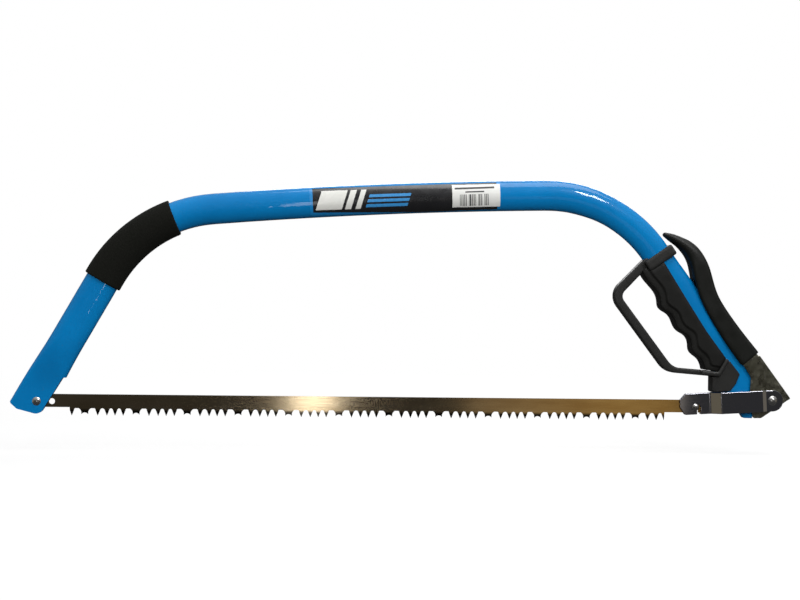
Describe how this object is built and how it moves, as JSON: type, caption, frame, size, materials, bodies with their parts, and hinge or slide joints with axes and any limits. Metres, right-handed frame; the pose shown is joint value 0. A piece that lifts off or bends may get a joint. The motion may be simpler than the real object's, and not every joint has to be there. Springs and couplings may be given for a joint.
{
  "type": "bow saw",
  "caption": "Bow saw for green wood: bent oval tube frame, toothed blade, knuckle guard and an over-centre lever that tensions the blade.",
  "frame": {"origin": "middle of the bounding box's underside, with the saw upright on its teeth", "axes": "+X along the blade towards the handle, +Y to the far side, +Z from the blade up to the top tube"},
  "size_m": [0.9027, 0.0298, 0.2787],
  "materials": {
    "blue_paint": "gloss powder coat",
    "bright_steel": "bright zinc plate",
    "chrome_plate": "bright chrome plate",
    "dark_steel": "dark nickel plate over pressed steel",
    "blade_steel": "rolled spring steel with a bronze lacquer",
    "black_foam": "closed-cell foam",
    "black_plastic": "fine moulded grain",
    "lever_plastic": "fine moulded grain",
    "grip_rubber": "soft-touch matt",
    "label_vinyl": "gloss vinyl",
    "sticker_paper": "coated paper"
  },
  "bodies": {
    "frame": {"frame_tube": "blue_paint", "nose_pin": "bright_steel", "nose_pin_clip": "bright_steel", "foam_sleeve": "black_foam", "span_label": "label_vinyl", "price_sticker": "sticker_paper", "knuckle_guard": "black_plastic", "hand_grip": "grip_rubber", "heel_block": "black_plastic", "grip_screws": "bright_steel", "pivot_bush": "bright_steel", "pivot_washers": "bright_steel"},
    "lever": {"lever_channel": "dark_steel", "lever_sleeve": "lever_plastic", "pivot_rivet": "bright_steel"},
    "yoke": {"yoke_near_plate": "chrome_plate", "yoke_far_plate": "chrome_plate", "link_rivet": "bright_steel", "link_washers": "bright_steel", "blade_pin": "bright_steel", "blade_pin_clip": "bright_steel"},
    "blade": {"blade": "blade_steel"}
  },
  "joints": [
    {"name": "lever_pivot", "type": "hinge", "parent": "frame", "child": "lever", "pos_m": [0.41134, 0, 0.02], "axis": [0, 1, 0], "range_deg": [0, 105]},
    {"name": "yoke_pivot", "type": "hinge", "parent": "lever", "child": "yoke", "pos_m": [0.42934, 0, 0.0248], "axis": [0, 1, 0], "range_deg": [-105, 0]},
    {"name": "blade_pivot", "type": "hinge", "parent": "frame", "child": "blade", "pos_m": [-0.42166, 0, 0.016], "axis": [0, 1, 0], "range_deg": [-1.8, 0]}
  ],
  "couplings": [
    {"joint": "yoke_pivot", "follows": "lever_pivot", "ratio": -1}
  ]
}
